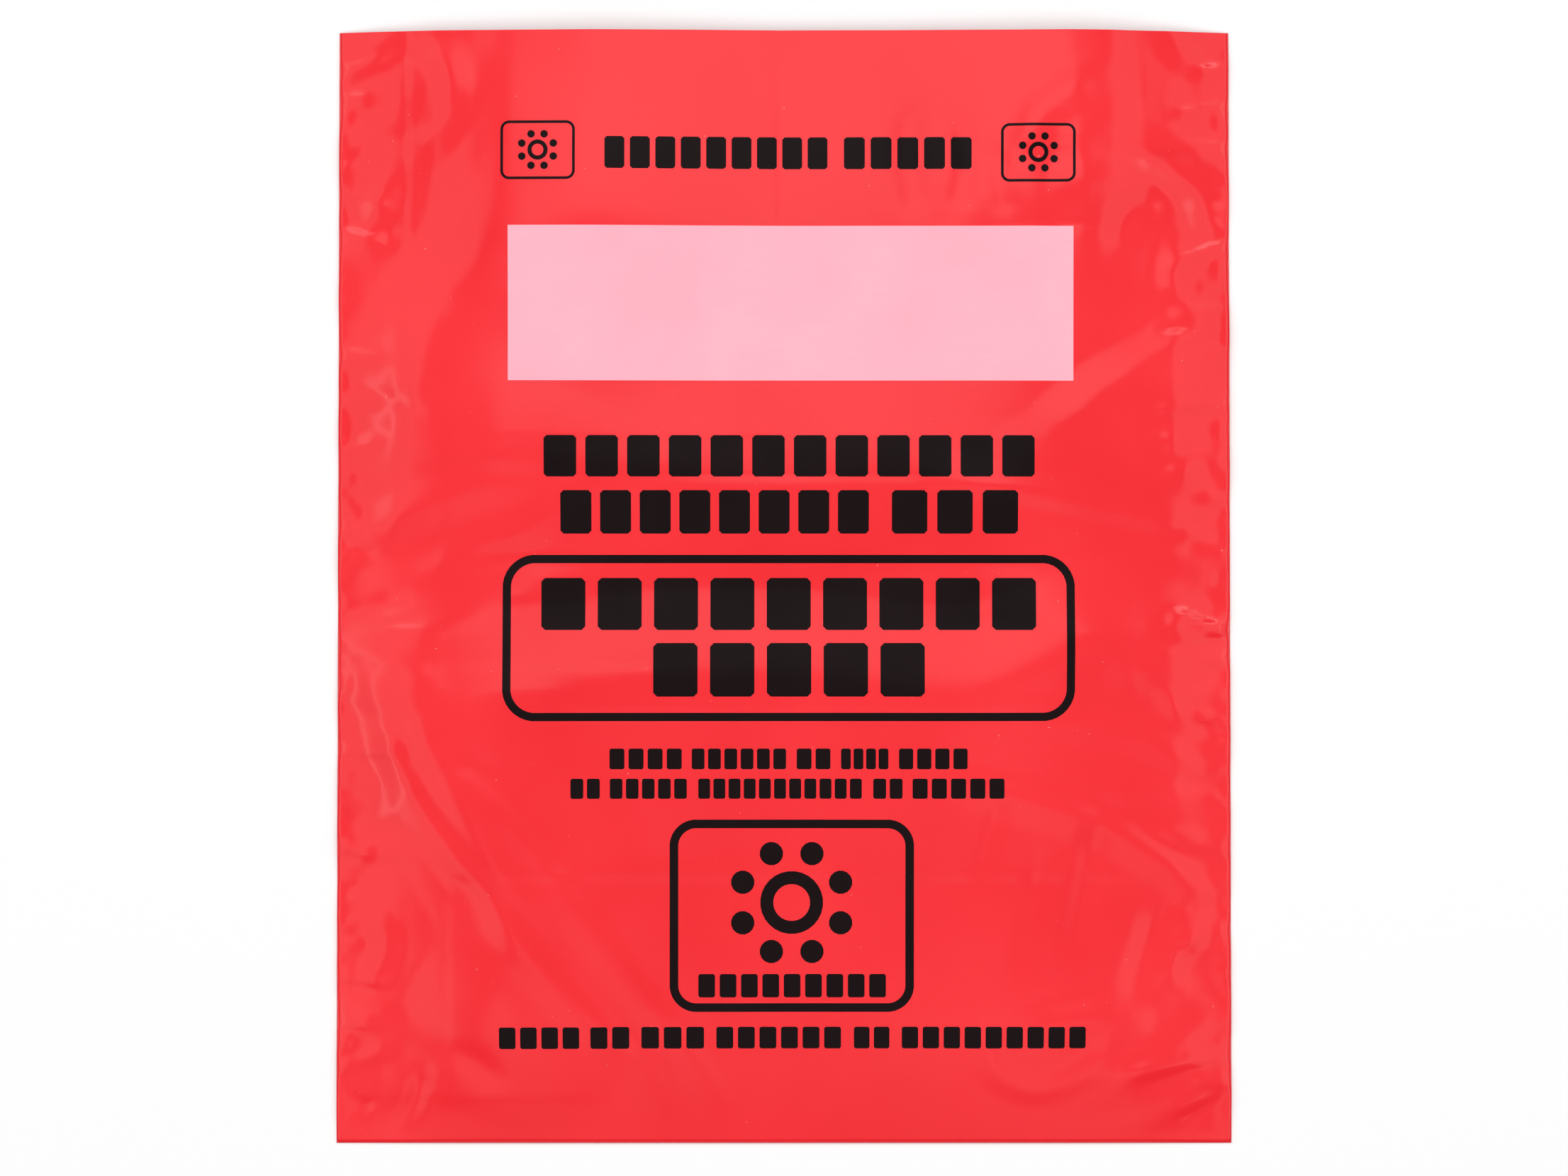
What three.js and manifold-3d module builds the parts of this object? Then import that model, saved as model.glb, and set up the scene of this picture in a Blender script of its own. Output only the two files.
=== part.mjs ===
// Empty waste disposal bag of clear red polypropylene film, lying on its back with its mouth a little
// open. One sheet of film is folded at the base and welded to itself along both sides.
// Millimetres. +X runs across the bag, +Y from the folded base to the open mouth, +Z up. The origin lies
// under the middle of the bag, on the surface that it rests on.

import * as THREE from 'three';
import { mergeVertices } from 'three/addons/utils/BufferGeometryUtils.js';
import Module from 'manifold-3d';

// Driving dimensions of the film and its seams.
const filmThickness = 0.05;
const weldWidth = 1.2;
const weldHeight = 0.3;
const foldHeight = 0.8;

// Driving dimensions of the bag as it lies. The parted and puckered film draws the side welds in at the
// mouth, so the mouth is narrower than the base.
const baseWidth = 304.8;
const mouthDrawIn = 2.2;
const bagLength = 378;
const bodyLoft = 8;
const mouthLoft = 6.6;
const sideShoulder = 57;
const baseShoulder = 48;
const mouthRun = 90;

// The folds of the front film: the height and the reach that they are multiples of, and the run over which
// they die out from the side welds and the base. Towards the two ends of its crest, over a share of the
// crest's length, a fold falls to a share of its height.
const crestHeight = 2;
const crestReach = 16;
const reliefRun = 26;
const endFade = 0.22;
const endHeight = 0.35;

// How finely the film is divided: columns run from weld to weld, rows from the base to the mouth, and steps
// along the crest of each fold.
const shoulderColumns = 8;
const middleColumns = 14;
const bodyRows = 36;
const crestSteps = 24;

// Broad folds of the front film. Each crest runs through its places, which are shares of the half width
// and the half length from the middle of the bag. The height is a multiple of crestHeight. Left and right
// are how far the fold's two sides reach, seen along its crest, as multiples of crestReach.
const folds = [
  {
    name: 'cross ridge above',
    crest: [[-0.98, 0.11], [-0.77, 0.21], [-0.46, 0.25], [0, 0.23], [0.59, 0.21], [0.98, 0.13]],
    height: 1.1, left: 3.75, right: 2.125,
  },
  {
    name: 'cross ridge below',
    crest: [[-0.96, -0.16], [-0.79, -0.2], [-0.39, -0.17], [0.39, -0.19], [0.68, -0.13], [0.98, -0.16]],
    height: 1, left: 1.875, right: 3.75,
  },
  {
    name: 'fold beside the panel',
    crest: [[-0.6, 0.79], [-0.64, 0.65], [-0.76, 0.5], [-0.81, 0.37], [-0.85, 0.22]],
    height: 1.2, left: 1.375, right: 1.875,
  },
  {
    name: 'upper left pillow',
    crest: [[-0.98, 0.84], [-0.88, 0.85], [-0.76, 0.92]],
    height: 0.75, left: 0.875, right: 0.875,
  },
  {
    name: 'upper right lens',
    crest: [[0.64, 0.83], [0.76, 0.81], [0.88, 0.77], [0.97, 0.64]],
    height: 0.9, left: 0.9375, right: 0.9375,
  },
  {
    name: 'right diagonal',
    crest: [[0.62, 0.26], [0.7, 0.35], [0.83, 0.42], [1, 0.51]],
    height: 1.1, left: 1.0625, right: 1.125,
  },
  {
    name: 'left crease',
    crest: [[-0.92, -0.19], [-0.84, -0.35], [-0.63, -0.59], [-0.43, -0.78], [-0.3, -0.87]],
    height: 0.65, left: 0.75, right: 0.875,
  },
  {
    name: 'lower left pillow',
    crest: [[-0.98, -0.52], [-0.85, -0.54], [-0.64, -0.61]],
    height: 0.8, left: 1, right: 1,
  },
  {
    name: 'lower left tongue',
    crest: [[-1, -0.75], [-0.84, -0.76], [-0.64, -0.83]],
    height: 0.85, left: 1, right: 1,
  },
  {
    name: 'lower right arc',
    crest: [[0.63, -0.85], [0.79, -0.86], [0.97, -0.74]],
    height: 0.55, left: 0.875, right: 0.875,
  },
];

// Rises from 0 to 1 over a run, steep where it starts and level where it ends.
function shoulder(distance, run) {
  const share = THREE.MathUtils.clamp(distance / run, 0, 1);
  return Math.sin(share * Math.PI / 2);
}

// Half the width of the bag at a place along its length.
function halfWidthAt(y) {
  const share = y / bagLength + 0.5;
  return THREE.MathUtils.lerp(baseWidth, baseWidth - mouthDrawIn, share) / 2;
}

// The crest of a fold as evenly spaced points in millimetres.
function crestOf(fold) {
  const places = fold.crest.map(([u, v]) => new THREE.Vector2(u * baseWidth / 2, v * bagLength / 2));
  return new THREE.SplineCurve(places).getSpacedPoints(crestSteps);
}

const crests = new Map(folds.map((fold) => [fold, crestOf(fold)]));

// Height that one fold adds: highest on its crest, and fading out at both ends.
function foldHeightAt(fold, x, y) {
  const crest = crests.get(fold);
  const place = new THREE.Vector2(x, y);
  let nearest = { distance: Infinity };
  for (let k = 0; k < crestSteps; k += 1) {
    const run = crest[k + 1].clone().sub(crest[k]);
    const off = place.clone().sub(crest[k]);
    const along = THREE.MathUtils.clamp(off.dot(run) / run.lengthSq(), 0, 1);
    const distance = off.clone().addScaledVector(run, -along).length();
    if (distance < nearest.distance) {
      const side = run.cross(off) > 0 ? fold.left : fold.right;
      nearest = { distance, reach: side * crestReach, share: (k + along) / crestSteps };
    }
  }
  const across = Math.cos(Math.min(nearest.distance / nearest.reach, 1) * Math.PI / 2) ** 2;
  const fade = Math.sin(Math.min(nearest.share, 1 - nearest.share, endFade) / endFade * Math.PI / 2);
  return fold.height * crestHeight * across * (endHeight + (1 - endHeight) * fade);
}

// Height of the front film's outer face above the surface below.
function frontHeightAt(x, y) {
  const fromWeld = halfWidthAt(y) - weldWidth - Math.abs(x);
  const fromFold = y + bagLength / 2;
  const fromMouth = bagLength / 2 - y;
  const sideRise = shoulder(fromWeld, sideShoulder);
  const baseRise = shoulder(fromFold, baseShoulder);
  const loft = THREE.MathUtils.lerp(mouthLoft, bodyLoft, shoulder(fromMouth, mouthRun));
  const relief = folds.reduce((sum, fold) => sum + foldHeightAt(fold, x, y), 0);
  const middle = THREE.MathUtils.lerp(foldHeight, loft, baseRise);
  const free = shoulder(fromWeld, reliefRun) * shoulder(fromFold, reliefRun);
  return THREE.MathUtils.lerp(weldHeight, middle, sideRise) + relief * free;
}

// Places of the columns as shares of the half width: one for the weld's own strip at each side, closer
// together on the shoulders than in the middle.
function columnShares() {
  const half = baseWidth / 2;
  const weldShare = (half - weldWidth) / half;
  const shoulderShare = (half - weldWidth - sideShoulder) / half;
  const right = [];
  for (let i = 0; i <= middleColumns / 2; i += 1) {
    right.push(shoulderShare * i / (middleColumns / 2));
  }
  for (let i = 1; i <= shoulderColumns; i += 1) {
    right.push(THREE.MathUtils.lerp(shoulderShare, weldShare, i / shoulderColumns));
  }
  right.push(1);
  const left = right.slice(1).map((share) => -share).reverse();
  return [...left, ...right];
}

// Places of the rows along Y: the first one is the film's own thickness at the base fold.
function rowPlaces() {
  const start = -bagLength / 2;
  const rows = [start];
  for (let j = 0; j <= bodyRows; j += 1) {
    rows.push(THREE.MathUtils.lerp(start + filmThickness, bagLength / 2, j / bodyRows));
  }
  return rows;
}

// A closed pillow over the given columns and rows: flat below, and as high as heightAt says above.
function pillow(columns, rows, bottom, heightAt) {
  const box = new THREE.BoxGeometry(1, 1, 1, columns.length - 1, rows.length - 1, 1);
  box.deleteAttribute('normal');
  box.deleteAttribute('uv');
  const places = box.getAttribute('position');
  for (let k = 0; k < places.count; k += 1) {
    const column = Math.round((places.getX(k) + 0.5) * (columns.length - 1));
    const row = Math.round((places.getY(k) + 0.5) * (rows.length - 1));
    const y = rows[row];
    const x = columns[column] * halfWidthAt(y);
    const z = places.getZ(k) > 0 ? heightAt(x, y) : bottom;
    places.setXYZ(k, x, y, z);
  }
  return mergeVertices(box);
}

const wasm = await Module();
wasm.setup();

// A closed geometry as a solid that can be cut.
function solidOf(geometry) {
  return new wasm.Manifold(new wasm.Mesh({
    numProp: 3,
    vertProperties: geometry.getAttribute('position').array,
    triVerts: new Uint32Array(geometry.index.array),
  }));
}

// A solid as a geometry for a mesh.
function geometryOf(solid) {
  const made = solid.getMesh();
  const geometry = new THREE.BufferGeometry();
  geometry.setAttribute('position', new THREE.BufferAttribute(made.vertProperties, 3));
  geometry.setIndex(new THREE.BufferAttribute(made.triVerts, 1));
  geometry.computeVertexNormals();
  return geometry;
}

// The film: the outside of the bag, less the space inside it, which runs out through the mouth.
function makeFilm() {
  const columns = columnShares();
  const rows = rowPlaces();
  const outside = pillow(columns, rows, 0, frontHeightAt);
  const insideRows = [...rows.slice(1), bagLength / 2 + mouthRun];
  const inside = pillow(
    columns.slice(1, -1),
    insideRows,
    filmThickness,
    (x, y) => frontHeightAt(x, Math.min(y, bagLength / 2)) - filmThickness,
  );
  return geometryOf(solidOf(outside).subtract(solidOf(inside)));
}

const film = new THREE.Mesh(
  makeFilm(),
  new THREE.MeshStandardMaterial({ color: 0xf53a42, roughness: 0.16, metalness: 0 }),
);
film.name = 'bag_film';

const bag = new THREE.Group();
bag.add(film);

export default bag;
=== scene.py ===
import math
import random

import bmesh
import bpy
import numpy as np
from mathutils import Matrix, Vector, noise


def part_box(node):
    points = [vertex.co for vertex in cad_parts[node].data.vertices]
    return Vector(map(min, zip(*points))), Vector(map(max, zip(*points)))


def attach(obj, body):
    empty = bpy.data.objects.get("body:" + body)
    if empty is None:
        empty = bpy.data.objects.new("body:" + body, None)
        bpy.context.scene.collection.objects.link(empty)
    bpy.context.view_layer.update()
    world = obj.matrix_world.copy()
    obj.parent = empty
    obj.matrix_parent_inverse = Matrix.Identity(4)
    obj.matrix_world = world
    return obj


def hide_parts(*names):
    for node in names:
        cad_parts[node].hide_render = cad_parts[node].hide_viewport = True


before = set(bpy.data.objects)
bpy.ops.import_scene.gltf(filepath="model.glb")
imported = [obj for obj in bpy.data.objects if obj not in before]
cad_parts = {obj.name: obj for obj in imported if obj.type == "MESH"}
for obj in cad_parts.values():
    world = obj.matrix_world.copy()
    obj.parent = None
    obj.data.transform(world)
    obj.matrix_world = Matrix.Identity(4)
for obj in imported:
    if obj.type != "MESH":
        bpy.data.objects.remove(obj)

bl_info = {
    "name": "Waste disposal bag",
    "version": (1, 0, 0),
    "blender": (4, 5, 0),
    "location": "3D View > Sidebar > Bag",
    "description": "An empty disposal bag of clear red film with its print, lying on its back",
    "category": "Object",
}

MM = 0.001

# Half the length and half the base width of the bag in millimetres, from the CAD film.
CAD_HIGH = Vector(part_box("bag_film")[1]) / MM
HALF_LENGTH = CAD_HIGH.y
BASE_HALF_WIDTH = CAD_HIGH.x

# How far the print lies off the film, and how thick it is, in millimetres.
INK_GAP = 0.03
INK_THICKNESS = 0.02

# The section of a fold: how round its crest is, and how its flanks curve. Towards both ends of its crest,
# over a share of the crest's length, it falls to a share of its height.
CREST_ROUNDING = 0.02
CREST_LIFT = 0.14
FLANK_POWER = 1.25
END_FADE = 0.22
END_HEIGHT = 0.35

# Heights of the chance relief, its wave lengths across and along the bag, and how far from the bag's middle
# it starts to grow, all in millimetres.
WAVE_HEIGHT = 0.8
FACET_HEIGHT = 0.9
WAVE_LENGTHS = (34, 46)
FACET_LENGTHS = (44, 33)
SMALL_FACET_LENGTHS = (19, 24)
FACET_START = 84
FACET_RUN = 50

# Runs in millimetres over which the relief grows from a share at the side welds, the relief grows from the
# base, and the puckers grow from the side welds.
SIDE_RELIEF_START = 0.25
SIDE_RELIEF_RUN = 26
BASE_RELIEF_RUN = 16
PUCKER_FADE = 3.0

# How high the puckered welds stand off the surface below, over which width, and how far from the bag's two
# ends they come down to it, in millimetres.
WELD_LIFT = 0.28
WELD_LIFT_WIDTH = 9.0
WELD_LIFT_END = 12

# Broad and sharp folds of the front film, in millimetres from the middle of the bag. Each has a crest that
# runs through its points, a height (negative for a trough, or a pair where it changes along the crest), and
# how far its left and its right side reach, seen along the crest.
FOLDS = [
    ("cross ridge above", [(-150, 18), (-118, 34), (-70, 37), (0, 40), (60, 43), (92, 42), (150, 24)],
     1.5, 60, 36),
    ("cross ridge below", [(-146, -30), (-120, -38), (-60, -32), (0, -30), (60, -36), (104, -24), (150, -30)],
     2.3, 30, 60),
    ("left cross swell", [(-112, 43), (-84, 44), (-48, 42), (-28, 42)], 0.8, 28, 16),
    ("panel side band", [(-91, 184), (-93, 160), (-95, 137), (-97, 122), (-102, 109), (-115, 95), (-121, 75),
                         (-128, 45)], 3.4, 90, 25),
    ("left frame hollow", [(-63, 215), (-65, 166), (-66, 146), (-67, 112)], 2.3, 60, 33),
    ("corner lens", [(-152, 174), (-140, 179), (-124, 183)], (1.5, -1.2), 6, 6),
    ("upper left pillow", [(-154, 150), (-138, 154), (-124, 153), (-113, 164)], (1.8, -1.2), 7, 7),
    ("upper left hook", [(-122, 150), (-115, 160), (-113, 172), (-118, 186)], 1.3, 8, 9),
    ("left pocket", [(-146, 114), (-140, 126), (-135, 139)], 1.3, 9, 8),
    ("left glint", [(-156, 99), (-138, 95), (-118, 95)], (1.6, -0.6), 7, 9),
    ("left tongue", [(-152, 12), (-130, 24), (-106, 33), (-84, 39)], (2.6, -0.6), 10, 10),
    ("left tongue light", [(-124, 4), (-104, 14), (-86, 20), (-74, 32)], 0.8, 8, 8),
    ("left nose", [(-154, -3), (-142, -6), (-132, -3)], (0.9, -0.7), 6, 6),
    ("left strip", [(-147, -14), (-141, -34), (-134, -54), (-130, -66)], 0.5, 8, 9),
    ("right band", [(90, 205), (96, 170), (99, 150), (101, 124)], 2.6, 24, 90),
    ("upper right swell", [(108, 200), (110, 176), (113, 152), (118, 138)], 1.2, 26, 20),
    ("upper right hook", [(80, 148), (88, 162), (104, 173)], 1.2, 9, 9),
    ("upper right lens", [(99, 148), (116, 149), (133, 142), (144, 130), (149, 116)], -1.9, 11, 9),
    ("upper right tongue", [(112, 116), (117, 128), (128, 133)], -1.0, 7, 9),
    ("right swirl", [(134, 118), (132, 106), (138, 94), (150, 92)], 0.9, 7, 7),
    ("right diagonal", [(90, 51), (106, 65), (126, 78), (156, 95)], (1.6, 3.6), 12, 60),
    ("right corner band", [(130, 188), (144, 174), (149, 158)], 0.9, 7, 8),
    ("right nose", [(128, 50), (142, 51), (154, 50)], (1.5, -1.2), 7, 7),
    ("right heel", [(134, 38), (142, 36), (152, 33)], (1.2, -0.9), 6, 6),
    ("right highlight", [(50, 38), (84, 32), (112, 26), (146, 18)], 0.7, 9, 5),
    ("right dark tongue", [(92, 12), (118, 10), (154, 8)], (-0.6, 1.4), 9, 9),
    ("right pocket", [(130, -13), (140, -8), (152, -3)], (1.7, -1.3), 6, 6),
    ("right pocket below", [(118, -30), (136, -28), (156, -28)], 1.2, 9, 8),
    ("right comma", [(130, -37), (138, -45), (150, -52)], (1.3, -1.0), 4, 5),
    ("right lower glint", [(136, -124), (143, -118), (152, -110)], (1.4, -1.1), 5, 5),
    ("left crease", [(-140, -36), (-128, -66), (-112, -90), (-96, -111), (-84, -126), (-66, -147),
                     (-46, -164)], 1.1, 6, 9),
    ("middle crease", [(-104, -66), (-82, -92), (-66, -114), (-50, -136), (-36, -152), (-22, -172)],
     0.8, 6, 10),
    ("oblique swell", [(-126, -44), (-112, -66), (-98, -94), (-82, -112)], 1.0, 10, 11),
    ("lower left wedge", [(-150, -88), (-128, -90), (-112, -98), (-100, -110)], (1.6, -1.2), 7, 7),
    ("lower left shoulder", [(-128, -44), (-114, -68), (-99, -92), (-92, -108), (-91, -122), (-97, -138),
                             (-108, -160)], 2.6, 50, 28),
    ("lower left lobe", [(-142, -112), (-136, -120), (-140, -136)], 0.9, 7, 7),
    ("lower left tongue", [(-154, -148), (-128, -151), (-108, -158), (-100, -164)], (1.6, -1.2), 7, 7),
    ("lower left corner", [(-154, -170), (-134, -170), (-118, -176), (-104, -182)], (1.0, -0.6), 9, 9),
    ("base left stripe", [(-122, -164), (-126, -176), (-134, -190)], -0.9, 5, 5),
    ("right long arc", [(64, -66), (100, -77), (124, -89), (142, -106), (134, -120), (133, -134),
                        (148, -142)], 1.1, 6, 10),
    ("right base arc", [(104, -166), (121, -164), (138, -153), (150, -140)], 1.2, 9, 12),
    ("right base corner", [(114, -187), (134, -178), (154, -164)], 1.2, 12, 12),
    ("low swell", [(84, -150), (104, -146), (126, -146)], 1.0, 9, 12),
    ("low ring", [(66, -150), (72, -164), (86, -170), (104, -163), (112, -152)], 0.7, 5, 7),
    ("dark finger outer", [(107, -78), (103, -98), (98, -124)], -0.75, 7, 7),
    ("dark finger inner", [(86, -92), (83, -112), (80, -132)], -0.7, 6, 6),
    ("dark finger first", [(73, -74), (69, -86), (66, -98)], -0.6, 5, 5),
    ("low finger", [(128, -108), (123, -124), (118, -140)], -0.7, 8, 8),
    ("far arc", [(96, -46), (120, -50), (146, -64)], 0.6, 6, 9),
    ("first row trough", [(44, 164), (42, 146), (46, 126)], -0.8, 8, 8),
    ("second row trough", [(60, 158), (62, 144), (58, 128)], -0.8, 7, 7),
    ("third row trough", [(72, 150), (73, 138), (76, 126)], -0.6, 6, 6),
    ("right frame hollow", [(92, 150), (91, 134), (96, 118)], -0.9, 10, 10),
]

# How far the rise from each side weld runs inwards, at places along the bag from its base to its mouth.
SHOULDER_PLACES = (-189, -150, -105, -60, -35, -15, 12, 45, 70, 105, 150, 189)
LEFT_SHOULDER = (52, 60, 66, 64, 36, 36, 102, 66, 70, 76, 54, 48)
RIGHT_SHOULDER = (60, 80, 98, 108, 92, 54, 104, 98, 90, 82, 50, 44)


def millimetres(name, default, description):
    """A length property whose default is given in millimetres."""
    return bpy.props.FloatProperty(
        name=name, description=description, default=default * MM,
        subtype="DISTANCE", unit="LENGTH", precision=5)


def colour(name, default, description):
    return bpy.props.FloatVectorProperty(
        name=name, description=description, default=default, subtype="COLOR", size=3, min=0.0, max=1.0)


class FilmSettings(bpy.types.PropertyGroup):
    gauge: millimetres("Film gauge", 0.05, "Thickness of one layer of film")
    mouth_half_width: millimetres("Mouth half width", 151.3, "Half the width of the lying bag at its mouth")
    weld_height: millimetres("Weld height", 0.3, "Height of the bead along a side weld")
    fold_height: millimetres("Fold height", 0.8, "Height of the turned film at the base")
    body_loft: millimetres("Body loft", 8.0, "How high the front film stands in the middle")
    mouth_loft: millimetres("Mouth loft", 6.6, "How far the mouth stands open")
    base_shoulder: millimetres("Base shoulder", 48, "Run of the rise from the base fold")
    mouth_run: millimetres("Mouth run", 90, "Run over which the film falls to the mouth")
    film: colour("Film", (0.93, 0.0185, 0.027), "Colour of the clear red film")
    black: colour("Black ink", (0.006, 0.0025, 0.003), "Colour of the black print")
    pale: colour("Pale ink", (0.93, 0.46, 0.545), "Colour of the writing panel")


class StageSettings(bpy.types.PropertyGroup):
    camera_height: bpy.props.FloatProperty(
        name="Camera height", description="Camera above the bag", default=1.2616, unit="LENGTH")
    lens: bpy.props.FloatProperty(
        name="Lens", description="Focal length of the camera", default=85.0, unit="CAMERA")
    floor: colour("Floor", (0.93, 0.93, 0.93), "Colour of the pale floor")


# Shape of the film, in millimetres, on arrays of places.

def shoulder(distance, run):
    """Rises from 0 to 1 over a run, steep where it starts and level where it ends."""
    return np.sin(np.clip(distance / run, 0, 1) * math.pi / 2)


def through(points, steps=14):
    """A smooth path through the points of a crest."""
    points = [Vector(p) for p in points]
    ends = [2 * points[0] - points[1], *points, 2 * points[-1] - points[-2]]
    path = []
    for a, b, c, d in zip(ends, ends[1:], ends[2:], ends[3:]):
        for k in range(steps):
            t = k / steps
            path.append(0.5 * (2 * b + (c - a) * t + (2 * a - 5 * b + 4 * c - d) * t * t
                               + (3 * b - a - 3 * c + d) * t ** 3))
    path.append(points[-1])
    return np.array([tuple(p) for p in path])


def fold_height(x, y, points, height, left, right):
    """Height that one fold adds at each place."""
    path = through(points)
    start, run = path[:-1], np.diff(path, axis=0)
    length = np.hypot(run[:, 0], run[:, 1])
    reach = max(left, right)
    near = ((x > path[:, 0].min() - reach) & (x < path[:, 0].max() + reach)
            & (y > path[:, 1].min() - reach) & (y < path[:, 1].max() + reach))
    px, py = x[near][:, None], y[near][:, None]
    t = ((px - start[:, 0]) * run[:, 0] + (py - start[:, 1]) * run[:, 1]) / length ** 2
    t = np.clip(t, 0, 1)
    dx = px - start[:, 0] - t * run[:, 0]
    dy = py - start[:, 1] - t * run[:, 1]
    distance = np.hypot(dx, dy)
    best = distance.argmin(axis=1)
    rows = np.arange(len(best))
    side = run[best, 0] * dy[rows, best] - run[best, 1] * dx[rows, best]
    leaning = side / np.maximum(length[best] * distance[rows, best], 1e-9)
    width = right + (left - right) * (0.5 + 0.5 * leaning)
    across = np.clip(distance[rows, best] / width, 0, 1)
    before = np.concatenate([[0], np.cumsum(length)])
    along = (before[best] + t[rows, best] * length[best]) / before[-1]
    fade = np.clip(np.minimum(along, 1 - along) / END_FADE, 0, 1)
    ends = END_HEIGHT + (1 - END_HEIGHT) * np.sin(fade * math.pi / 2)
    first, last = height if isinstance(height, tuple) else (height, height)
    crest = 1 - np.sqrt(across ** 2 + CREST_ROUNDING) + CREST_LIFT
    section = np.clip(crest, 0, 1) ** FLANK_POWER
    added = np.zeros_like(x)
    added[near] = (first + (last - first) * along) * section * ends
    return added


def side_puckers(seed):
    """Short folds that run inwards from both side welds, a few millimetres apart."""
    draw = random.Random(seed)
    folds = []
    edge = BASE_HALF_WIDTH + 3
    for side in (-1, 1):
        y = -HALF_LENGTH + 8
        while y < HALF_LENGTH - 6:
            is_short = draw.random() < 0.75
            run = draw.uniform(7, 22) if is_short else draw.uniform(22, 40)
            lean = draw.uniform(-0.35, 0.35)
            width = draw.uniform(2.6, 4.6)
            height = draw.uniform(0.3, 1.0) * draw.choice((1, 1, -0.7))
            points = [(side * edge, y), (side * (edge - run / 2), y + lean * run / 2),
                      (side * (edge - run), y + lean * run * 1.2)]
            folds.append(("pucker", points, height, width, width * draw.uniform(0.8, 1.3)))
            y += draw.uniform(4.5, 9.5)
    return folds


def crumple(x, y):
    """Chance relief of thin film: soft waves, and sharp-crested facets that grow towards the side welds."""
    def noise_at(lengths, layer):
        across, along = lengths
        return np.array([noise.noise((px / across, py / along, layer)) for px, py in zip(x, y)])

    wave = noise_at(WAVE_LENGTHS, 3.7)
    facet = abs(noise_at(FACET_LENGTHS, 8.2)) + 0.3 * abs(noise_at(SMALL_FACET_LENGTHS, 1.3))
    towards_side = np.clip((np.abs(x) - FACET_START) / FACET_RUN, 0, 1)
    return WAVE_HEIGHT * wave * (0.5 + 0.5 * towards_side) + FACET_HEIGHT * towards_side * (0.3 - facet)


class Shape:
    """The lying bag as heights over the surface below."""

    def __init__(self, settings):
        self.mouth_half_width = settings.mouth_half_width / MM
        self.weld_height = settings.weld_height / MM
        self.fold_height = settings.fold_height / MM
        self.body_loft = settings.body_loft / MM
        self.mouth_loft = settings.mouth_loft / MM
        self.base_shoulder = settings.base_shoulder / MM
        self.mouth_run = settings.mouth_run / MM
        self.puckers = side_puckers(seed=11)

    def half_width(self, y):
        share = (y + HALF_LENGTH) / (2 * HALF_LENGTH)
        return BASE_HALF_WIDTH + (self.mouth_half_width - BASE_HALF_WIDTH) * share

    def weld_lift(self, x, y):
        """How far the puckered welds stand off the surface below."""
        side = np.where(x > 0, 1.7, 0.0)
        wave = np.sin(y / 7.1 + side) + 0.6 * np.sin(y / 3.7 + 2.1 * side) + 0.5 * np.sin(y / 17.0 - side)
        near = np.clip(1 - (self.half_width(y) - np.abs(x)) / WELD_LIFT_WIDTH, 0, 1)
        ends = np.clip((HALF_LENGTH - np.abs(y)) / WELD_LIFT_END, 0, 1)
        return WELD_LIFT * (wave + 1.6).clip(0) * near ** 2 * ends

    def front(self, x, y):
        from_weld = self.half_width(y) - np.abs(x)
        left_run = np.interp(y, SHOULDER_PLACES, LEFT_SHOULDER)
        right_run = np.interp(y, SHOULDER_PLACES, RIGHT_SHOULDER)
        side_rise = shoulder(from_weld, np.where(x < 0, left_run, right_run))
        base_rise = shoulder(y + HALF_LENGTH, self.base_shoulder)
        mouth_rise = shoulder(HALF_LENGTH - y, self.mouth_run)
        loft = self.mouth_loft + (self.body_loft - self.mouth_loft) * mouth_rise
        relief = sum(fold_height(x, y, *fold[1:]) for fold in FOLDS) + crumple(x, y)
        relief = relief * np.clip(SIDE_RELIEF_START + from_weld / SIDE_RELIEF_RUN, 0, 1)
        relief = relief * np.clip((y + HALF_LENGTH) / BASE_RELIEF_RUN, 0, 1)
        pucker = sum(fold_height(x, y, *fold[1:]) for fold in self.puckers)
        pucker = pucker * np.clip(from_weld / PUCKER_FADE, 0, 1)
        middle = self.fold_height + (loft - self.fold_height) * base_rise
        height = self.weld_height + (middle - self.weld_height) * side_rise + relief + pucker
        return np.maximum(height, self.weld_height) + self.weld_lift(x, y)

    def back(self, x, y):
        return self.weld_lift(x, y)


# Meshes.

def spread(half, edge, fine, coarse):
    """Places from -half to half: fine steps over the edge zones, and coarse steps between them."""
    fine_count = round(edge / fine)
    coarse_count = round(2 * (half - edge) / coarse)
    left = np.linspace(-half, -half + edge, fine_count, endpoint=False)
    middle = np.linspace(-half + edge, half - edge, coarse_count + 1)
    return np.concatenate([left, middle, -left[::-1]])


def add_layer(bm, columns, rows, shape, height_at):
    """One layer of film as a grid whose columns are shares of the half width. Returns it row by row."""
    grid = bmesh.ops.create_grid(bm, x_segments=len(columns) - 1, y_segments=len(rows) - 1, size=0.5)
    verts = sorted(grid["verts"], key=lambda v: (round(v.co.y, 6), round(v.co.x, 6)))
    y = np.repeat(rows, len(columns))
    x = np.tile(columns, len(rows)) * shape.half_width(y)
    z = height_at(x, y)
    for vert, place in zip(verts, zip(x, y, z)):
        vert.co = Vector(place) * MM
    return [verts[k:k + len(columns)] for k in range(0, len(verts), len(columns))]


def edges_along(verts):
    return [edge for a, b in zip(verts, verts[1:]) for edge in a.link_edges if edge.other_vert(a) == b]


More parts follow.
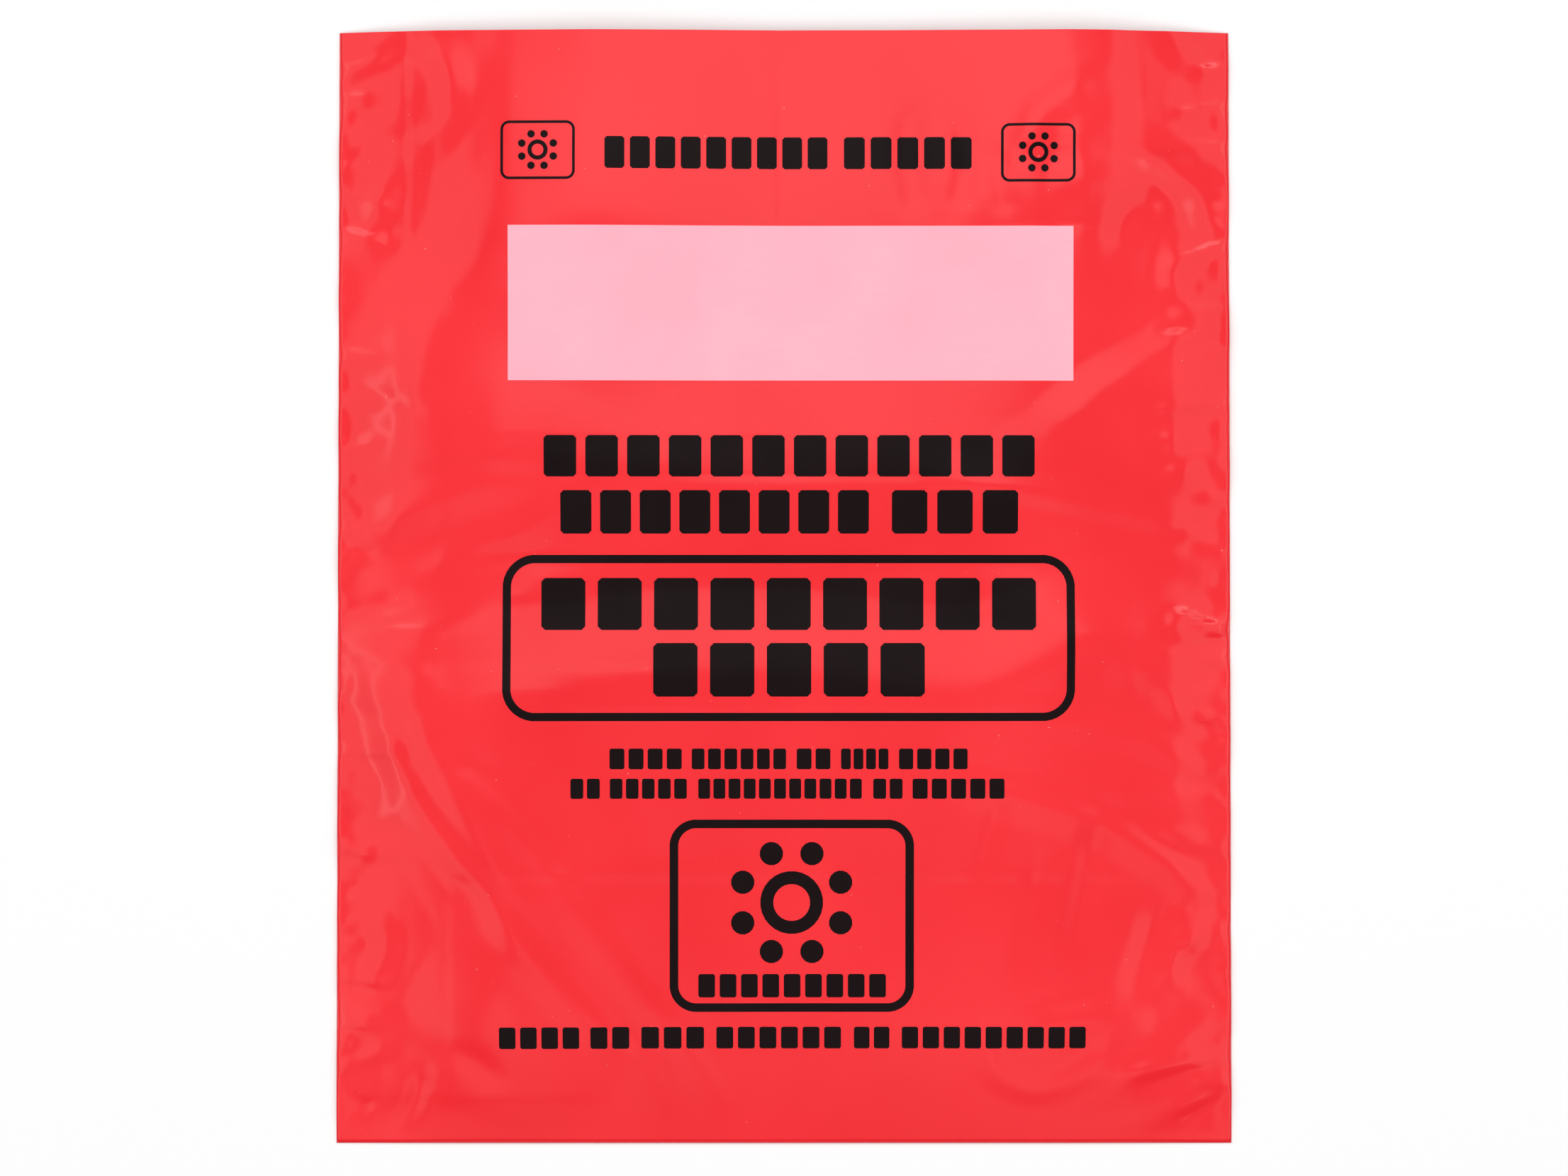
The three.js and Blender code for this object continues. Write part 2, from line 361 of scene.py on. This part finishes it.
def finish_piece(name, bm, material, thickness, offset):
    """A mesh object from a sheet: its free edges stay crisp, and a wall gives it the sheet's thickness."""
    for edge in bm.edges:
        edge.smooth = not edge.is_boundary
    for face in bm.faces:
        face.smooth = True
    mesh = bpy.data.meshes.new(name)
    bm.to_mesh(mesh)
    bm.free()
    piece = bpy.data.objects.new(name, mesh)
    bpy.context.scene.collection.objects.link(piece)
    mesh.materials.append(material)
    wall = piece.modifiers.new("wall", "SOLIDIFY")
    wall.thickness = thickness
    wall.offset = offset
    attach(piece, "root")
    return piece


def front_patch(box, margin=3.0):
    """The front film's faces over a box (x0, x1, y0, y1) in millimetres, as a mesh of their own."""
    film = bpy.data.objects["bag_film_sheet"]
    bm = bmesh.new()
    bm.from_mesh(film.data)
    x0, x1, y0, y1 = box
    lows = Vector((x0 - margin, y0 - margin)) * MM
    highs = Vector((x1 + margin, y1 + margin)) * MM
    away = []
    for face in bm.faces:
        centre = face.calc_center_median()
        inside = lows.x < centre.x < highs.x and lows.y < centre.y < highs.y
        if not inside or face.normal.z < 0:
            away.append(face)
    bmesh.ops.delete(bm, geom=away, context="FACES")
    return bm


def rounded_planes(box, radius, steps=6):
    """Points and normals of the upright planes round a box with rounded corners, in millimetres."""
    x0, x1, y0, y1 = box
    corners = [(x1 - radius, y1 - radius), (x0 + radius, y1 - radius),
               (x0 + radius, y0 + radius), (x1 - radius, y0 + radius)]
    planes = []
    for quarter, (cx, cy) in enumerate(corners):
        for k in range(steps + 1 if radius else 1):
            angle = math.pi / 2 * (quarter + k / steps)
            normal = Vector((math.cos(angle), math.sin(angle), 0))
            planes.append((Vector((cx, cy, 0)) + normal * radius, normal))
    return planes


def cut(bm, planes, keep_inside=True):
    for point, normal in planes:
        geometry = [*bm.verts, *bm.edges, *bm.faces]
        bmesh.ops.bisect_plane(
            bm, geom=geometry, dist=1e-7, plane_co=point * MM, plane_no=normal, clear_outer=keep_inside)


def is_inside(place, planes):
    return all((Vector((place.x, place.y, 0)) / MM - point).dot(normal) <= 0 for point, normal in planes)


def ink_area(source, box, radius=0.0, hole=None, steps=6):
    """A copy of the source patch that is cut to a rounded box, less a rounded hole (box, radius)."""
    bm = source.copy()
    cut(bm, rounded_planes(box, radius, steps))
    if hole:
        planes = rounded_planes(*hole, steps)
        cut(bm, planes, keep_inside=False)
        inner = [face for face in bm.faces if is_inside(face.calc_center_median(), planes)]
        bmesh.ops.delete(bm, geom=inner, context="FACES")
    return bm


def gather(parts):
    """One mesh from several."""
    whole = bmesh.new()
    for part in parts:
        mesh = bpy.data.meshes.new("part")
        part.to_mesh(mesh)
        part.free()
        whole.from_mesh(mesh)
        bpy.data.meshes.remove(mesh)
    return whole


def make_ink(name, parts, material):
    """Print on the front film: a thin layer that lies on the film's own faces."""
    bm = gather(parts)
    bmesh.ops.translate(bm, verts=bm.verts, vec=(0, 0, INK_GAP * MM))
    return finish_piece(name, bm, material, INK_THICKNESS * MM, 1.0)


# Materials.

class Value:
    """A node's output socket that can be used in sums."""

    def __init__(self, tree, socket):
        self.tree, self.socket = tree, socket

    def math(self, operation, *others):
        made = self.tree.node("ShaderNodeMath", {"operation": operation}, [self, *others])
        return made["Value"]

    def __add__(self, other):
        return self.math("ADD", other)

    def __mul__(self, other):
        return self.math("MULTIPLY", other)

    def __radd__(self, other):
        return self + other

    def __rmul__(self, other):
        return self * other


class Tree:
    """A material's nodes."""

    def __init__(self, name):
        self.material = bpy.data.materials.new(name)
        self.material.use_nodes = True
        self.nodes = self.material.node_tree.nodes
        self.links = self.material.node_tree.links
        self.nodes.clear()

    def node(self, kind, settings, inputs):
        """Adds a node: settings first, then values or links for its sockets, by name or in order."""
        made = self.nodes.new(kind)
        for key, setting in settings.items():
            setattr(made, key, setting)
        pairs = inputs.items() if isinstance(inputs, dict) else enumerate(inputs)
        for key, given in pairs:
            if isinstance(given, Value):
                self.links.new(given.socket, made.inputs[key])
            else:
                made.inputs[key].default_value = given
        return {socket.name: Value(self, socket) for socket in made.outputs if socket.enabled}

    def noise(self, scale, stretch=(1, 1, 1), detail=2.0):
        place = self.node("ShaderNodeTexCoord", {}, {})["Object"]
        stretched = self.node("ShaderNodeMapping", {}, {"Vector": place, "Scale": stretch})["Vector"]
        return self.node("ShaderNodeTexNoise", {}, {
            "Vector": stretched, "Scale": scale, "Detail": detail})["Fac"]

    def range(self, value, low, high, to_low, to_high):
        return self.node("ShaderNodeMapRange", {}, {
            "Value": value, "From Min": low, "From Max": high, "To Min": to_low, "To Max": to_high})["Result"]

    def mix(self, factor, first, second):
        return self.node("ShaderNodeMix", {"data_type": "RGBA"}, {
            0: factor, 6: (*first, 1.0) if isinstance(first, tuple) else first,
            7: (*second, 1.0) if isinstance(second, tuple) else second})["Result"]

    def bump(self, height, strength, distance):
        return self.node("ShaderNodeBump", {}, {
            "Height": height, "Strength": strength, "Distance": distance})["Normal"]

    def finish(self, **inputs):
        named = {key.replace("_", " "): given for key, given in inputs.items()}
        surface = self.node("ShaderNodeBsdfPrincipled", {}, named)["BSDF"]
        self.node("ShaderNodeOutputMaterial", {}, {"Surface": surface})
        return self.material


def film_material(shade):
    """Clear red polypropylene: glossy, a little uneven in tone, with faint lines across from its drawing."""
    tree = Tree("red film")
    cloudy = tree.noise(18.0, detail=3.0)
    drawn = tree.noise(1.0, stretch=(25, 900, 900), detail=2.0)
    specks = tree.range(tree.noise(900.0, detail=0.0), 0.88, 0.91, 0.0, 1.0)
    deep = tuple(c * f for c, f in zip(shade, (0.95, 0.9, 0.92)))
    tone = tree.mix(tree.range(cloudy, 0.3, 0.7, 0.0, 1.0), deep, tuple(shade))
    tone = tree.mix(specks * 0.35, tone, (0.95, 0.35, 0.36))
    roughness = tree.range(cloudy, 0.3, 0.7, 0.15, 0.21)
    normal = tree.bump(drawn + tree.noise(420.0, detail=1.0) * 0.35, 0.12, 0.00012)
    return tree.finish(Base_Color=tone, Roughness=roughness, Normal=normal, IOR=1.5, Specular_IOR_Level=0.62)


def black_ink_material(shade):
    if "black ink" in bpy.data.materials:
        return bpy.data.materials["black ink"]
    tree = Tree("black ink")
    cloudy = tree.noise(60.0, detail=3.0)
    tone = tree.mix(cloudy * 0.6, tuple(shade), tuple(c * 2.2 for c in shade))
    normal = tree.bump(tree.noise(900.0, detail=2.0), 0.1, 0.0001)
    return tree.finish(Base_Color=tone, Roughness=0.3, Normal=normal, IOR=1.5, Specular_IOR_Level=0.15)


def pale_ink_material(shade):
    tree = Tree("pale ink")
    cloudy = tree.noise(26.0, detail=4.0)
    streaks = tree.noise(1.0, stretch=(60, 700, 700), detail=2.0)
    worn = tuple(c * f for c, f in zip(shade, (0.985, 0.9, 0.92)))
    tone = tree.mix(tree.range(cloudy, 0.35, 0.65, 0.0, 0.7), tuple(shade), worn)
    tone = tree.mix(tree.range(streaks, 0.4, 0.7, 0.0, 0.25), tone, worn)
    normal = tree.bump(tree.noise(1200.0, detail=2.0), 0.15, 0.0001)
    return tree.finish(Base_Color=tone, Roughness=0.62, Normal=normal, IOR=1.5, Specular_IOR_Level=0.25)


# How finely the film is divided: the share of the half width that the fine columns take, and the width of a
# fine and of a coarse column as shares of the half width. Rows run from the base to the mouth.
FRONT_COLUMNS = (0.27, 0.0098, 0.0152)
BACK_COLUMNS = (0.1, 0.034, 0.09)
ROWS = 233

# Place of the pale writing panel on the front, in millimetres: (x0, x1, y0, y1).
PANEL_BOX = (-93.3, 98.0, 70.2, 122.6)

# Frames with rounded corners, in millimetres: the outside box, the line's width and the outer radius.
FRAMES = [
    ((-95.2, 98.5, -45.0, 11.2), 2.8, 11.0),
    ((-38.7, 44.0, -143.5, -78.4), 2.9, 9.0),
    ((-95.8, -70.6, 138.0, 157.9), 0.9, 3.0),
    ((73.4, 98.6, 137.4, 157.2), 0.9, 3.0),
]


class BAG_OT_film(bpy.types.Operator):
    """Make the folded and welded film of the bag"""
    bl_idname = "bag.make_film"
    bl_label = "Film"

    def execute(self, context):
        settings = context.scene.bag_film
        shape = Shape(settings)
        front_columns = spread(1.0, *FRONT_COLUMNS)
        back_columns = spread(1.0, *BACK_COLUMNS)
        rows = np.linspace(-HALF_LENGTH, HALF_LENGTH, ROWS)
        bm = bmesh.new()
        front = add_layer(bm, front_columns, rows, shape, shape.front)
        back = add_layer(bm, back_columns, rows, shape, shape.back)
        for front_side, back_side in (
            ([row[0] for row in front], [row[0] for row in back]),
            ([row[-1] for row in front], [row[-1] for row in back]),
            (front[0], back[0]),
        ):
            bmesh.ops.bridge_loops(bm, edges=edges_along(front_side) + edges_along(back_side))
        bmesh.ops.recalc_face_normals(bm, faces=bm.faces)
        middle = front[len(rows) // 2][len(front_columns) // 2]
        if middle.normal.z < 0:
            bmesh.ops.reverse_faces(bm, faces=bm.faces)
        material = film_material(settings.film)
        piece = finish_piece("bag_film_sheet", bm, material, settings.gauge, -1.0)
        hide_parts("bag_film")
        return {"FINISHED"}


class BAG_OT_panel(bpy.types.Operator):
    """Print the pale writing panel"""
    bl_idname = "bag.make_writing_panel"
    bl_label = "Writing panel"

    def execute(self, context):
        source = front_patch(PANEL_BOX)
        part = ink_area(source, PANEL_BOX)
        source.free()
        make_ink("writing_panel", [part], pale_ink_material(context.scene.bag_film.pale))
        return {"FINISHED"}


def inset(box, by):
    x0, x1, y0, y1 = box
    return (x0 + by, x1 - by, y0 + by, y1 - by)


class BAG_OT_frames(bpy.types.Operator):
    """Print the plain frames with rounded corners"""
    bl_idname = "bag.make_frames"
    bl_label = "Frames"

    def execute(self, context):
        material = black_ink_material(context.scene.bag_film.black)
        parts = []
        for box, line, radius in FRAMES:
            source = front_patch(box)
            hole = (inset(box, line), radius - line)
            parts.append(ink_area(source, box, radius, hole=hole, steps=8))
            source.free()
        make_ink("print_frames", parts, material)
        return {"FINISHED"}


# Share of its place that a print block fills, and the share of its height that rounds its corners.
BLOCK_SHARE = 0.78
BLOCK_ROUNDING = 0.12

# Rows of plain print blocks, in millimetres: the ends (x0, x1) and (y0, y1) of each group, and how many
# blocks it holds.
BLOCK_ROWS = [
    [((-60.6, 14.7), (141.8, 152.6), 9), ((20.3, 63.5), (141.8, 152.6), 5)],
    [((-81.2, 84.8), (37.7, 51.7), 12)],
    [((-75.6, 28.7), (18.4, 33.1), 8), ((36.5, 79.2), (18.4, 33.1), 3)],
    [((-82.1, 85.3), (-14.2, 3.4), 9)],
    [((-44.2, 47.6), (-36.7, -18.6), 5)],
    [((-59, -34.6), (-61.3, -54.3), 4), ((-31.2, 0.7), (-61.3, -54.3), 6), ((4.3, 15.7), (-61.3, -54.3), 2),
     ((19.3, 35.3), (-61.3, -54.3), 4), ((38.9, 62.1), (-61.3, -54.3), 4)],
    [((-72.2, -62.3), (-71.3, -64.5), 2), ((-58.9, -32.9), (-71.3, -64.5), 5),
     ((-29, 26.3), (-71.3, -64.5), 11), ((30.2, 40.1), (-71.3, -64.5), 2), ((43.5, 74.6), (-71.3, -64.5), 5)],
    [((-29, 34.5), (-138.6, -130.7), 9)],
    [((-96.4, -69.3), (-156, -148.6), 4), ((-65.5, -52.4), (-156, -148.6), 2),
     ((-48.3, -27.1), (-156, -148.6), 3), ((-22.9, 19.3), (-156, -148.6), 6),
     ((23.7, 35.7), (-156, -148.6), 2), ((39.9, 102.2), (-156, -148.6), 9)],
]


class BAG_OT_blocks(bpy.types.Operator):
    """Print rows of plain blocks"""
    bl_idname = "bag.make_blocks"
    bl_label = "Print blocks"

    def execute(self, context):
        material = black_ink_material(context.scene.bag_film.black)
        parts = []
        for row in BLOCK_ROWS:
            xs = [x for group in row for x in group[0]]
            ys = row[0][1]
            source = front_patch((min(xs), max(xs), *ys))
            for (x0, x1), (y0, y1), count in row:
                pitch = (x1 - x0) / (count - 1 + BLOCK_SHARE)
                for k in range(count):
                    box = (x0 + k * pitch, x0 + (k + BLOCK_SHARE) * pitch, y0, y1)
                    parts.append(ink_area(source, box, BLOCK_ROUNDING * (y1 - y0), steps=2))
            source.free()
        make_ink("print_blocks", parts, material)
        return {"FINISHED"}


# Round motifs inside the frames: (x, y, half size) in millimetres. The ring, its hole and the dots round it
# are shares of the half size.
MOTIFS = [(2.6, -106.5, 23.0), (-83.2, 148.0, 7.4), (86.0, 147.4, 7.4)]
RING_SHARE = 0.46
HOLE_SHARE = 0.27
DOT_SHARE = 0.17
DOT_PLACE_SHARE = 0.78
DOTS = 8


def around(x, y, reach):
    return (x - reach, x + reach, y - reach, y + reach)


class BAG_OT_motifs(bpy.types.Operator):
    """Print a ring of dots inside each picture frame"""
    bl_idname = "bag.make_motifs"
    bl_label = "Ring motifs"

    def execute(self, context):
        material = black_ink_material(context.scene.bag_film.black)
        parts = []
        for cx, cy, size in MOTIFS:
            source = front_patch(around(cx, cy, size))
            ring = size * RING_SHARE
            inner = size * HOLE_SHARE
            dot = size * DOT_SHARE
            hole = (around(cx, cy, inner), inner)
            parts.append(ink_area(source, around(cx, cy, ring), ring, hole=hole, steps=7))
            for k in range(DOTS):
                angle = math.tau * (k + 0.5) / DOTS
                x = cx + DOT_PLACE_SHARE * size * math.cos(angle)
                y = cy + DOT_PLACE_SHARE * size * math.sin(angle)
                parts.append(ink_area(source, around(x, y, dot), dot, steps=4))
            source.free()
        make_ink("print_motifs", parts, material)
        return {"FINISHED"}


# Soft lights, in metres: name, place, the point it faces, its two sides, its radiance, and how wide its edges
# fade.
SOFT_LIGHTS = [
    ("overhead softbox", (0.0, 0.51, 1.5), (0.0, 0.51, 0.0), (0.7, 0.78), 0.79, 0.08),
    ("front card left", (-0.27, -0.92, 1.5), (-0.27, -0.92, 0.0), (0.38, 1.24), 0.37, 0.2),
    ("front card right", (0.27, -0.92, 1.5), (0.27, -0.92, 0.0), (0.38, 1.24), 0.37, 0.2),
    ("side softbox left", (-1.3, 0.1, 1.1), (-0.1, 0.05, 0.0), (2.2, 1.28), 0.66, 0.1),
    ("side softbox right", (1.3, 0.1, 1.1), (0.1, 0.05, 0.0), (2.2, 1.28), 0.66, 0.1),
]

# A soft light is a stack of plain ones. Their sides differ by these shares of the fade, and they stand this
# far apart, in metres.
EDGE_STEPS = (-0.8, 0.0, 0.8)
LAYER_STEP = 0.004

# Narrow lights with plain edges, and the broad fill that doesn't show in the film's gloss.
STRIP_LIGHTS = [
    ("side strip left", (-1.15, 0.1, 0.95), (0.0, 0.0, 0.0), (1.6, 0.07), 1.8),
    ("side strip right", (1.15, 0.1, 0.95), (0.0, 0.0, 0.0), (1.6, 0.07), 1.8),
    ("back strip", (0.0, 1.1, 1.35), (0.0, 0.0, 0.0), (2.4, 0.12), 3.5),
]
FILL_LIGHT = ((0.0, 0.0, 2.4), (0.0, 0.0, 0.0), (3.4, 3.4), 1.56)
WORLD_STRENGTH = 0.12

# The floor lies a little below the bag, so that the two don't touch. Both are metres.
FLOOR_HALF_SIDE = 3.0
FLOOR_DROP = 0.0003


def add_area_light(name, place, target, size, radiance, in_gloss=True):
    """A rectangular soft light of a given radiance that faces its target."""
    light = bpy.data.lights.new(name, "AREA")
    light.shape = "RECTANGLE"
    light.size, light.size_y = size
    light.energy = radiance * math.pi * size[0] * size[1]
    lamp = bpy.data.objects.new(name, light)
    lamp.location = place
    lamp.rotation_euler = (Vector(place) - Vector(target)).to_track_quat("Z", "Y").to_euler()
    lamp.visible_glossy = in_gloss
    bpy.context.scene.collection.objects.link(lamp)


def add_soft_light(name, place, target, size, radiance, edge):
    """An area light whose glow falls off in steps towards its edges."""
    away = (Vector(place) - Vector(target)).normalized()
    for k, share in enumerate(EDGE_STEPS):
        grown = [length + edge * share for length in size]
        layer = Vector(place) + away * LAYER_STEP * k
        add_area_light(f"{name} {k + 1}", layer, target, grown, radiance / len(EDGE_STEPS))


class BAG_OT_stage(bpy.types.Operator):
    """Set up the floor, the lights and the camera above"""
    bl_idname = "bag.make_stage"
    bl_label = "Stage"

    def execute(self, context):
        settings = context.scene.bag_stage
        scene = context.scene
        bm = bmesh.new()
        bmesh.ops.create_grid(bm, x_segments=1, y_segments=1, size=FLOOR_HALF_SIDE)
        mesh = bpy.data.meshes.new("floor")
        bm.to_mesh(mesh)
        bm.free()
        floor = bpy.data.objects.new("floor", mesh)
        floor.location.z = -FLOOR_DROP
        scene.collection.objects.link(floor)
        tree = Tree("pale floor")
        mesh.materials.append(tree.finish(
            Base_Color=(*settings.floor, 1.0), Roughness=0.9, Specular_IOR_Level=0.0))
        world = bpy.data.worlds.new("studio")
        world.use_nodes = True
        background = world.node_tree.nodes["Background"]
        background.inputs["Color"].default_value = (1, 1, 1, 1)
        background.inputs["Strength"].default_value = WORLD_STRENGTH
        scene.world = world
        for light in SOFT_LIGHTS:
            add_soft_light(*light)
        for light in STRIP_LIGHTS:
            add_area_light(*light)
        add_area_light("fill", *FILL_LIGHT, in_gloss=False)
        camera = bpy.data.cameras.new("camera")
        camera.lens = settings.lens
        camera.sensor_width = 36.0
        eye = bpy.data.objects.new("camera", camera)
        eye.location = (0.0, 0.0, settings.camera_height)
        scene.collection.objects.link(eye)
        scene.camera = eye
        scene.view_settings.view_transform = "Standard"
        scene.view_settings.look = "None"
        return {"FINISHED"}


OPERATORS = (BAG_OT_stage, BAG_OT_film, BAG_OT_panel, BAG_OT_frames, BAG_OT_blocks, BAG_OT_motifs)


class VIEW3D_PT_bag(bpy.types.Panel):
    """Sizes and colours of the bag, and the steps that make it"""
    bl_label = "Waste disposal bag"
    bl_space_type = "VIEW_3D"
    bl_region_type = "UI"
    bl_category = "Bag"

    def draw(self, context):
        for settings in (context.scene.bag_film, context.scene.bag_stage):
            for key in settings.__annotations__:
                self.layout.prop(settings, key)
        for operator in OPERATORS:
            self.layout.operator(operator.bl_idname)


CLASSES = (FilmSettings, StageSettings, *OPERATORS, VIEW3D_PT_bag)


def register():
    for cls in CLASSES:
        bpy.utils.register_class(cls)
    bpy.types.Scene.bag_film = bpy.props.PointerProperty(type=FilmSettings)
    bpy.types.Scene.bag_stage = bpy.props.PointerProperty(type=StageSettings)


def unregister():
    del bpy.types.Scene.bag_film
    del bpy.types.Scene.bag_stage
    for cls in reversed(CLASSES):
        bpy.utils.unregister_class(cls)


def main():
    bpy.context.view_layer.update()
    register()
    bpy.ops.bag.make_stage()
    bpy.ops.bag.make_film()
    bpy.ops.bag.make_writing_panel()
    bpy.ops.bag.make_frames()
    bpy.ops.bag.make_blocks()
    bpy.ops.bag.make_motifs()


if __name__ == "__main__":
    main()
